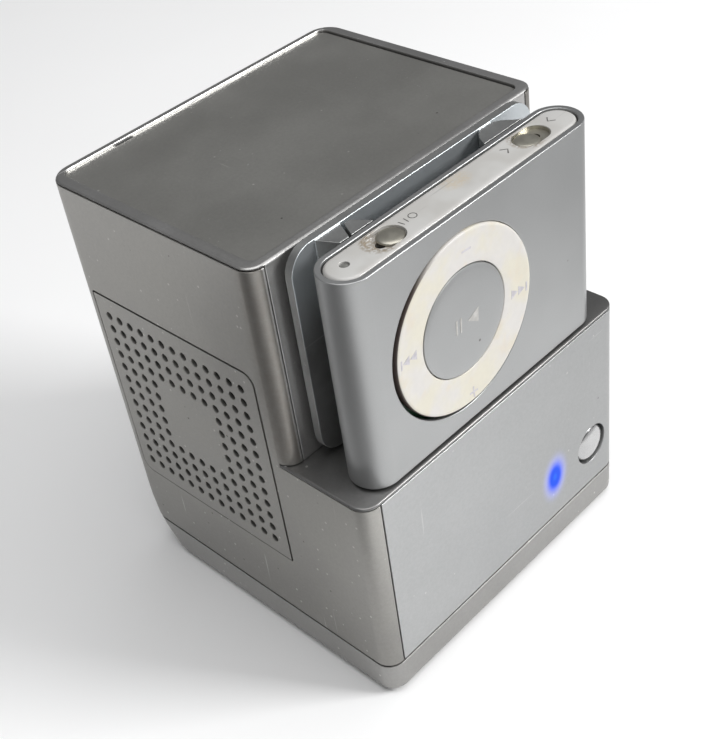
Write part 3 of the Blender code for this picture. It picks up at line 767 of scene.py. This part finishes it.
def side_plate(tag, side):
    """Side cover round the cube's front corner; the left one also turns round the nose."""
    top, low_top = SIDE_TOP - SEAM, LIP_Z - SEAM
    outer = sorted((side * PANEL_IN, side * OUT_X))
    front = -12 if side < 0 else -10.0
    low = slab(outer, (front, SIDE_BACK - SEAM), (SHELL_FOOT, low_top))
    if side < 0:
        nose = slab((-OUT_X, -NOSE_SEAM_X), (-12, -10.35), (SHELL_FOOT, low_top))
        low = combine(low, [nose], "UNION")
    low = combine(low, [lower_form()], "INTERSECT")
    high = slab(outer, (2.0, SIDE_BACK - SEAM), (25, top))
    wrap = slab(sorted((side * CORNER_X, side * OUT_X)), (-1, 2.15), (SHELF_Z + 0.1, top))
    high = combine(combine(high, [wrap], "UNION"), [upper_form()], "INTERSECT")
    plate = combine(low, [high], "UNION")
    gap = 0.2
    window = slab((GRILLE_Y[0] - gap, GRILLE_Y[1] + gap), (GRILLE_Z[0] - gap, GRILLE_Z[1] + gap),
                  sorted((side * 20, side * 26)), (0.3, 1.6, 0.3, 1.6), "x", 5)
    plate = combine(plate, [window])
    piece(tag + "_side_plate", plate, SIDE_SILVER.material, "dock",
          ["side_panel_" + tag], 0.08)


def grille(tag, side):
    """Flat insert with a square field of flared round holes and a blank square in its middle."""
    skin = sorted((side * (HALF_W - GRILLE_SKIN), side * (HALF_W + GRILLE_PROUD)))
    plate = slab(GRILLE_Y, GRILLE_Z, skin, (0.2, 1.5, 0.2, 1.5), "x", 6)
    face, past = HALF_W + GRILLE_PROUD, HALF_W + 0.10
    profile = [(0, 22), (HOLE_R, 22), (HOLE_R, face - HOLE_FLARE),
               (HOLE_R + HOLE_FLARE + 0.05, past), (0, past)]
    profile = [(r, side * h) for r, h in profile]
    holes = []
    for row in range(HOLE_ROWS):
        for column in range(HOLE_ROWS):
            if row in BLANK_ROWS and column in BLANK_ROWS:
                continue
            centre = (GRILLE_MIDDLE[0] + HOLE_PITCH * (column - HOLE_ROWS // 2),
                      GRILLE_MIDDLE[1] + HOLE_PITCH * (row - HOLE_ROWS // 2))
            holes.append(turned(profile, centre, "x", 14))
    plate = combine(plate, [gather(holes)])
    piece(tag + "_grille", plate, SIDE_SILVER.material, "dock",
          ["grille_panel_" + tag], 0)
    cloth = slab((GRILLE_Y[0] + 0.3, GRILLE_Y[1] - 0.3), (GRILLE_Z[0] + 0.3, GRILLE_Z[1] - 0.3),
                 sorted((side * 22.16, side * 22.34)), (0.2, 1.2, 0.2, 1.2), "x", 4)
    piece(tag + "_grille_cloth", cloth, CLOTH.material, "dock", (), 0)


def front_plate():
    """Front cover, turned round the nose's right corner, with the button's well."""
    top = LIP_Z - SEAM
    plate = slab((-NOSE_SEAM_X + SEAM * 1.4, OUT_X), (-12, -10.6), (SHELL_FOOT, top))
    turn = slab((22.3, OUT_X), (-12, -10.0 - SEAM), (SHELL_FOOT, top))
    plate = combine(plate, [turn], "UNION")
    plate = combine(plate, [lower_form()], "INTERSECT")
    well = disc((middle(BUTTON_X), middle(BUTTON_Z)), 2.95, (-14, -9), "y", 64)
    plate = combine(plate, [well])
    piece("front_plate", plate, FRONT_SILVER.material, "dock", ["front_panel"], 0.1)


def base_tray():
    """Tray with a rolled foot, drawn in at the back, bored for the screws and the feet."""
    levels = []
    for z, inset, back, r in ((0, 0.4, 33.7, 6.0), (0.12, 0.18, 34.0, 6.0), (0.35, 0.04, 34.2, 5.9),
                              (1.0, 0, 34.4, 5.6), (2.0, 0, 34.7, 5.0), (3.0, 0, 34.9, 4.3),
                              (PLATE_Z[1], 0, 35.0, 3.6)):
        x, front = (PLATE_X[0] + inset, PLATE_X[1] - inset), PLATE_Y[0] + inset
        levels.append((z, x, (front, back), (NOSE_R, NOSE_R, r, r)))
    tray = stacked(levels)
    inner = slab((-21.6, 21.6), (-9.8, 32.4), (1.8, 8), (0.8, 0.8, 2.8, 2.8))
    cuts = [inner]
    screw_bore = [(0, -1), (2.1, -1), (2.1, 0.8), (1.3, 0.8), (1.3, 3), (0, 3)]
    for x, y in ((-17.5, 3.6), (17.5, 3.6), (-17.0, 28.0), (17.0, 28.0)):
        cuts.append(turned(screw_bore, (x, y), "z", 24))
    for x, y in ((-18.0, -5.6), (18.0, -5.6), (-17.8, 20.5), (17.8, 20.5)):
        cuts.append(disc((x, y), 3.0, (-1, 0.5), "z", 32))
    tray = combine(tray, cuts)
    piece("base_tray", tray, BASE_SILVER.material, "dock", ["base_plate"], 0.1)


def feet_and_screws():
    for i in range(1, 5):
        x, y, z = span("rubber_foot_%d" % i)
        low, high = z
        foot = [(0, low), (2.1, low), (2.45, low + 0.12), (2.7, low + 0.4), (2.7, high), (0, high)]
        piece("foot_%d" % i, turned(foot, (middle(x), middle(y)), "z", 32), RUBBER.material,
              "dock", ["rubber_foot_%d" % i], 0)
        x, y, z = span("base_screw_%d" % i)
        low, high = z
        screw = [(0, low), (1.5, low), (1.8, low + 0.15), (1.8, low + 0.6), (1.0, low + 0.6),
                 (1.0, high - 0.6), (0, high)]
        head = turned(screw, (middle(x), middle(y)), "z", 24)
        cross = [slab((middle(x) - a, middle(x) + a), (middle(y) - b, middle(y) + b),
                      (low - 1, low + 0.4)) for a, b in ((1.1, 0.17), (0.17, 1.1))]
        piece("screw_%d" % i, combine(head, cross), STEEL.material, "dock",
              ["base_screw_%d" % i], 0)


def dome_button():
    """The dock's button: a shallow dome with a rounded shoulder, on a stem."""
    front, back = BUTTON_Y
    r, rise = (BUTTON_X[1] - BUTTON_X[0]) / 2, 0.62
    dome = [(0, front)] + [(r * math.sin(a), front + rise * (1 - math.cos(a)) / 0.66)
                           for a in (0.25, 0.5, 0.75, 1.0)]
    dome += [(r - 0.12, front + rise), (r - 0.02, front + 0.78), (r, front + 0.95),
             (r, front + 1.7), (1.2, front + 1.7), (1.2, back), (0, back)]
    piece("power_dome", turned(dome, (middle(BUTTON_X), middle(BUTTON_Z)), "y", 72),
          BUTTON_METAL.material, "dock_power_button", ["power_button"], 0)


# ---------------------------------------------------------------- player

def case():
    """Extruded tube with round ends, open at both caps, bored for the wheel."""
    tube = oblong(CASE_X, CASE_Y, CASE_Z, steps=56)
    tube = combine(tube, [oblong(CASE_X, CASE_Y, (20, 70), 0.7, steps=56)])
    centre = (middle(RING_X) - 0.16, middle(RING_Z) - 0.1)
    tube = combine(tube, [disc(centre, WHEEL_BORE_R, (-14, -9.3), "y", 96)])
    piece("case_tube", tube, CASE_METAL.material, "player", ["player_case"], 0.13, 3)


def oval(centre, half, h, steps, less=0.0):
    """Round-ended solid about a centre, given its half sizes."""
    (x, y), (a, b) = centre, (half[0] - less, half[1] - less)
    return oblong((x - a, x + a), (y - b, y + b), h, steps=steps)


def caps():
    """The two end caps, and the metal cup that lines the mode switch's well."""
    high = CAP_TOP
    cap = oblong(CASE_X, CASE_Y, (CAP_FOOT, high), 0.85, steps=56)
    rim(cap, lambda p: p.z > high - 0.01, 0.42, 5)
    cuts = []
    for well, deep in zip(WELLS, WELL_DEPTHS):
        cuts.append(oval(well, WELL_HALF, (high - deep, high + 2), 40))
        cuts.append(oval(well, SLOT_HALF, (high - 4, high), 16))
    light = span("status_light")
    cuts.append(disc((middle(light[0]), middle(light[1])), 0.55, (high - 4, high + 2), "z", 24))
    piece("switch_cap", combine(cap, cuts), CAP_PLASTIC.material, "player",
          ["switch_end_cap"], 0.07)
    cup = oval(WELLS[1], WELL_HALF, (high - 1.38, high - 0.05), 40, 0.02)
    inner = oval(WELLS[1], WELL_HALF, (high - 0.45, high + 1), 40, 0.10)
    slot = oval(WELLS[1], SLOT_HALF, (high - 4, high), 16)
    piece("mode_switch_well", combine(cup, [inner, slot]), SWITCH_METAL.material, "player",
          (), 0)
    cap = oblong(CASE_X, CASE_Y, span("jack_end_cap")[2], 0.95, steps=56)
    cap = combine(cap, [disc((9.8, middle(CASE_Y)), 2.1, (20, 40), "z", 32)])
    piece("jack_cap", cap, CAP_PLASTIC.material, "player", ["jack_end_cap"], 0.12)


def slider(name, node, body):
    """Oval slider with a domed crown, on a stem."""
    x, y, z = span(node)
    top, mid = CAP_TOP, middle(x)
    knob = oval((mid, middle(y)), KNOB_HALF, (top - 0.42, top - 0.32), 48)
    for inset, rise in ((0.06, 0.10), (0.14, 0.07), (0.26, 0.05), (0.36, 0.03), (0.40, 0.02)):
        crown = [face for face in knob.faces if face.normal.z > 0.9 and len(face.verts) > 12]
        bmesh.ops.inset_region(knob, faces=crown, thickness=inset, depth=0.0, use_even_offset=True)
        raised = list({p for face in crown for p in face.verts})
        bmesh.ops.translate(knob, vec=(0, 0, rise), verts=raised)
    stem = slab((mid - 0.5, mid + 0.5), (middle(y) - 0.45, middle(y) + 0.45), (z[0], top - 0.38))
    knob = combine(knob, [stem], "UNION")
    piece(name, knob, SWITCH_METAL.material, body, [node], 0)


def light_pipe():
    x, y, z = span("status_light")
    r, top = 0.5, CAP_TOP - 0.12
    lens = [(0, z[0]), (r, z[0]), (r, top - 0.08), (r * 0.6, top - 0.02), (0, top)]
    piece("light_lens", turned(lens, (middle(x), middle(y)), "z", 24), LIGHT_PIPE.material,
          "player", ["status_light"], 0)


# The ring's face, as radius and height over the case's face.
DISH = [(6.88, 0.10), (6.94, 0.04), (7.2, 0.0), (8.6, -0.02), (9.6, -0.07), (10.4, -0.14),
        (10.85, -0.20), (11.06, -0.19), (11.18, -0.12), (11.25, 0.02)]
HUB_FACE = -0.12


def dish_height(r):
    """How far the wheel's face stands from the case's face at radius r."""
    for (r0, h0), (r1, h1) in zip(DISH, DISH[1:]):
        if r0 <= r <= r1:
            return h0 + (h1 - h0) * (r - r0) / (r1 - r0)
    return HUB_FACE


def wheel():
    """The dished control ring and the centre button inside it."""
    spot = (middle(RING_X), middle(RING_Z))
    r, inner = (RING_X[1] - RING_X[0]) / 2, DISH[0][0]
    face = CASE_Y[0]
    dish = [(a, face + h) for a, h in DISH] + [(r, RING_Y[1]), (inner, RING_Y[1])]
    piece("wheel_ring", turned(dish, spot, "y", 128), RING_PLASTIC.material, "ring",
          ["control_ring"], 0)
    r = (HUB_X[1] - HUB_X[0]) / 2
    hub = [(0, face - 0.10), (4.5, face + HUB_FACE), (6.0, face - 0.11), (6.5, face - 0.06),
           (6.72, face + 0.02), (6.78, face + 0.12), (6.78, HUB_Y[1]), (0, HUB_Y[1])]
    piece("wheel_hub", turned(hub, spot, "y", 96), CASE_METAL.material, "centre",
          ["centre_button"], 0)


def glyphs(name, shapes, finish, body, depth):
    """Thin printed signs: bars and triangles laid on the wheel's face."""
    turn = math.radians(-4)
    parts = []
    for (cx, cz), marks in shapes:
        for mark in marks:
            points = []
            for a, b in mark:
                points.append((cx + a * math.cos(turn) - b * math.sin(turn),
                               cz + a * math.sin(turn) + b * math.cos(turn)))
            sign = sheet_prism(points, depth, "y")
            for p in sign.verts:
                out = math.hypot(p.co.x - middle(RING_X), p.co.z - middle(RING_Z))
                p.co.y += dish_height(out)
            parts.append(sign)
    piece(name, gather(parts), finish.material, body, (), 0)


def bar(a, b, w, h):
    return [(a - w / 2, b - h / 2), (a + w / 2, b - h / 2),
            (a + w / 2, b + h / 2), (a - w / 2, b + h / 2)]


def arrow(a, b, size, way):
    return [(a - way * size * 0.55, b - size * 0.6), (a + way * size * 0.55, b),
            (a - way * size * 0.55, b + size * 0.6)]


def wheel_signs():
    face = CASE_Y[0]
    minus = [bar(0, 0, 1.5, 0.24)]
    plus = [bar(0, 0, 1.4, 0.22), bar(0, 0.41, 0.22, 0.6), bar(0, -0.41, 0.22, 0.6)]
    forward = [arrow(-0.62, 0, 1.0, 1), arrow(0.55, 0, 1.0, 1), bar(1.35, 0, 0.22, 1.2)]
    back = [arrow(0.62, 0, 1.0, -1), arrow(-0.55, 0, 1.0, -1), bar(-1.35, 0, 0.22, 1.2)]
    glyphs("wheel_signs", [((-3.6, 54.8), minus), ((-4.3, 35.9), plus), ((4.5, 44.65), forward),
                           ((-13.7, 46.75), back)], PRINT, "ring",
           (face - 0.02, face + 0.1))
    play = [bar(-1.45, 0, 0.26, 1.9), bar(-0.75, 0, 0.26, 1.9), arrow(1.3, 0, 1.6, -1)]
    glyphs("hub_sign", [((-4.7, 46.0), play)], HUB_PRINT, "centre",
           (face - 0.015, face + 0.08))


def cap_signs():
    """Plain marks by the two switches: a small circle, bars and an arrow head."""
    low, high = z = (CAP_TOP - 0.02, CAP_TOP + 0.012)
    x, y = WELLS[0][0] + 4.6, -7.6
    r, line = 0.42, 0.10
    circle = [(r, low), (r + line, low), (r + line, high), (r, high)]
    marks = [turned(circle, (x, y), "z", 28)]
    wide = 0.12
    for across, tilt in ((-1.15, 0.12), (-1.75, -0.1)):
        foot, head = x + across, x + across + tilt
        marks.append(sheet_prism([(foot, y - 0.45), (foot + wide, y - 0.45),
                                  (head + wide, y + 0.4), (head, y + 0.4)], z))
    for x, way in ((WELLS[1][0] - 4.0, 1), (WELLS[1][0] + 3.9, -1)):
        for up in (1, -1):
            stroke = [(x + way * 0.45, y), (x + way * 0.30, y),
                      (x - way * 0.35, y + up * 0.55), (x - way * 0.22, y + up * 0.65)]
            marks.append(sheet_prism(stroke, z))
    piece("cap_signs", gather(marks), CAP_PRINT.material, "player", (), 0)


# ---------------------------------------------------------------- clip

def clip():
    """The spring clip's plate with its wedges, knuckles and jaw, and the lugs on the case."""
    near, case_back = -2.05, -4.55
    inside = near + 0.5
    plate = slab(CLIP_X, CLIP_Z, (near, -0.95), (3.0, 3.0, 3.2, 3.2), "y", 8)
    z0, z1 = CLIP_Z[0] + 0.4, CLIP_Z[1] - 0.16
    wedge = [(-15.9, inside), (-16.0, near), (-14.9, case_back), (-13.5, case_back),
             (-12.25, near), (-12.2, inside)]
    knuckle = [(-14.9, inside), (-14.9, -4.3), (-10.6, -4.3), (-10.6, inside)]
    jaw = [(8.2, case_back), (14.9, case_back), (14.3, -4.06), (13.4, -2.8), (12.3, near),
           (12.2, inside), (10.4, inside), (10.4, near), (9.6, -2.6), (8.8, -3.5)]
    adds = [sheet_prism(wedge, (54.6, z1)), sheet_prism(wedge, (z0, 37.4)),
            sheet_prism(knuckle, (49.4, 54.2)), sheet_prism(knuckle, (37.9, 42.7)),
            sheet_prism(jaw, (z0, z1))]
    plate = combine(plate, adds, "UNION")
    pin_x, pin_y = [middle(pair) for pair in span("clip_pin")[:2]]
    plate = combine(plate, [disc((pin_x, pin_y), 0.55, (30, 62), "z", 20)])
    piece("clip_spring_plate", plate, CLIP_METAL.material, "clip",
          ["clip_plate"], 0.07)
    lug = [(-13.15, case_back), (-12.0, -2.35), (-11.15, -2.35), (-9.9, case_back)]
    strap = slab((-10.25, -9.9), (-4.6, -3.9), (33, 59))
    bracket = combine(sheet_prism(lug, (54.5, z1)), [sheet_prism(lug, (z0, 37.5)), strap], "UNION")
    bracket = combine(bracket, [disc((pin_x, pin_y), 0.55, (34, 58.4), "z", 20)])
    piece("clip_lugs", bracket, CLIP_METAL.material, "player", ["clip_bracket"], 0.06)


# ---------------------------------------------------------------- pieces kept from the frame

def dress(node, finish):
    """Gives a piece of the frame one of the finishes."""
    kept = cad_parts[node]
    kept.data.materials.clear()
    kept.data.materials.append(finish.material)


def dress_the_rest():
    for tag in ("left", "right"):
        dress("speaker_basket_" + tag, BASKET)
        dress("speaker_magnet_" + tag, STEEL)
        dress("speaker_cone_" + tag, PAPER)
    for finish, nodes in ((BOARD, ("amplifier_board", "control_board", "logic_board")),
                          (CELL, ("dock_battery", "player_battery")),
                          (BLACK, ("tact_switch", "plug_collar", "plug_bracket", "jack_socket")),
                          (BASKET, ("power_switch_body", "mode_switch_body")),
                          (STEEL, ("clip_pin", "clip_spring")),
                          (BLUE_LENS, ("status_led",))):
        for node in nodes:
            dress(node, finish)


def plug():
    """The dock's plug: stem, two grooves between its contacts, waisted tip."""
    x, y, z = span("jack_plug")
    low, top = z
    r = (x[1] - x[0]) / 2
    run = [(0, low), (1.2, low), (1.2, low + 7.2), (r, low + 7.8), (r, top - 7.4),
           (1.62, top - 7.3), (1.62, top - 7.0), (r, top - 6.9), (r, top - 3.9), (1.5, top - 3.5),
           (1.28, top - 3.1), (1.3, top - 2.8), (r, top - 2.1), (1.6, top - 1.4),
           (1.25, top - 0.7), (0.7, top - 0.2), (0, top)]
    piece("plug_pin", turned(run, (middle(x), middle(y)), "z", 40), BRASS.material, "dock",
          ["jack_plug"], 0)


def back_socket():
    """The charging socket's steel shell and the tongue inside it."""
    x, y, z = span("charge_socket")
    metal = slab(x, z, y, (0.5,) * 4, "y", 4)
    mouth = slab((x[0] + 0.35, x[1] - 0.35), (z[0] + 0.35, z[1] - 0.35), (y[0] + 0.9, y[1] + 1),
                 (0.3,) * 4, "y", 3)
    metal = combine(metal, [mouth])
    tongue = slab((x[0] + 1.2, x[1] - 1.2), (middle(z) - 0.25, middle(z) + 0.25),
                  (y[0] + 0.5, y[1] - 0.6), (0,) * 4, "y")
    piece("socket_shell", metal, STEEL.material, "dock", ["charge_socket"], 0.06)
    piece("socket_tongue", tongue, BLACK.material, "dock", (), 0.05)


# ---------------------------------------------------------------- stage

def soft_light(name, spot, aim, size, power, tint=(1, 1, 1)):
    lamp = bpy.data.lights.new(name, "AREA")
    lamp.shape, lamp.size, lamp.size_y = "RECTANGLE", size[0], size[1]
    lamp.energy, lamp.color = power, tint
    made = bpy.data.objects.new(name, lamp)
    made.location = spot
    made.rotation_euler = (Vector(aim) - Vector(spot)).to_track_quat("-Z", "Y").to_euler()
    bpy.context.scene.collection.objects.link(made)


def flat_sheet(name, bm, finish):
    """Something flat that belongs to the stage and not to the object."""
    mesh = bpy.data.meshes.new(name)
    bm.to_mesh(mesh)
    bm.free()
    mesh.materials.append(finish.material)
    made = bpy.data.objects.new(name, mesh)
    bpy.context.scene.collection.objects.link(made)
    return made


def stage():
    """Pale floor, a dim even sky, and three soft lights."""
    bm = bmesh.new()
    bmesh.ops.create_grid(bm, x_segments=1, y_segments=1, size=3.0)
    pale = Finish("floor_pale", 0.75, 0.0)
    pale.colour(pale.blend(pale.noise(0.02, 2.0), (0.92, 0.92, 0.92), (0.95, 0.95, 0.95)))
    flat_sheet("floor", bm, pale)
    grey_card("card_left", (-0.995, -0.10), 0.05, 0.06, 0.0015, (0.10, 0.10, 0.10))
    grey_card("card_right", (0.70, -0.72), 0.085, 0.25, 0.001, (0.42, 0.42, 0.42))
    world = bpy.data.worlds.new("studio")
    world.use_nodes = True
    sky = world.node_tree.nodes["Background"]
    sky.inputs["Color"].default_value = (0.15, 0.152, 0.155, 1.0)
    sky.inputs["Strength"].default_value = 1.0
    bpy.context.scene.world = world
    soft_light("key", (0.30, -0.42, 0.34), (0.0, 0.0, 0.03), (0.20, 0.20), 2.9)
    soft_light("fill", (-0.35, -0.35, 0.40), (0.0, 0.0, 0.02), (0.35, 0.35), 0.3)
    soft_light("floor_wash", (0.0, -0.1, 0.9), (0.0, 0.0, 0.0), (0.9, 0.9), 5.8)


def grey_card(name, away, start, half, height, shade):
    """Card on the floor, from start outwards on one side of the object; it only reflects."""
    reach = 0.25
    away = Vector((*away, 0.0)).normalized()
    heading = Matrix.Rotation(math.atan2(away.x, -away.y), 3, "Z")
    place = away * (reach + start) + Vector((0, 0, height))
    bm = bmesh.new()
    bmesh.ops.create_grid(bm, x_segments=1, y_segments=1, size=reach)
    bmesh.ops.scale(bm, vec=(half / reach, 1, 1), verts=bm.verts[:])
    bmesh.ops.rotate(bm, cent=(0, 0, 0), verts=bm.verts[:], matrix=heading)
    bmesh.ops.translate(bm, vec=place, verts=bm.verts[:])
    card = flat_sheet(name, bm, plain_finish(name, shade, shade, 0.02, 0.9))
    card.visible_camera = card.visible_shadow = card.visible_diffuse = False


def camera():
    """Looks down on the dock's front left corner, a little rolled."""
    lens = bpy.data.cameras.new("camera")
    lens.sensor_width = 36.0
    lens.lens = 62.22
    made = bpy.data.objects.new("camera", lens)
    ahead = Vector((0.51035, 0.59166, -0.62409)).normalized()
    above = Vector((0.5218, 0.3638, 0.7716))
    right = ahead.cross(above).normalized()
    above = right.cross(ahead)
    turn = Matrix((right, above, -ahead)).transposed()
    eye = WALL_FOOT + Vector((-86.31, -86.23, 129.89)) * MM
    made.matrix_world = Matrix.Translation(eye) @ turn.to_4x4()
    lens.clip_start, lens.clip_end = 0.01, 20.0
    bpy.context.scene.collection.objects.link(made)
    bpy.context.scene.camera = made
    bpy.context.scene.view_settings.view_transform = "Standard"


def build():
    shell()
    top_plate()
    for tag, side in (("left", -1), ("right", 1)):
        side_plate(tag, side)
        grille(tag, side)
    front_plate()
    base_tray()
    feet_and_screws()
    dome_button()
    case()
    caps()
    slider("power_slider", "power_switch", "power_slider")
    slider("mode_slider", "mode_switch", "mode_slider")
    light_pipe()
    wheel()
    wheel_signs()
    cap_signs()
    clip()
    plug()
    back_socket()
    dress_the_rest()
    stage()
    camera()


build()
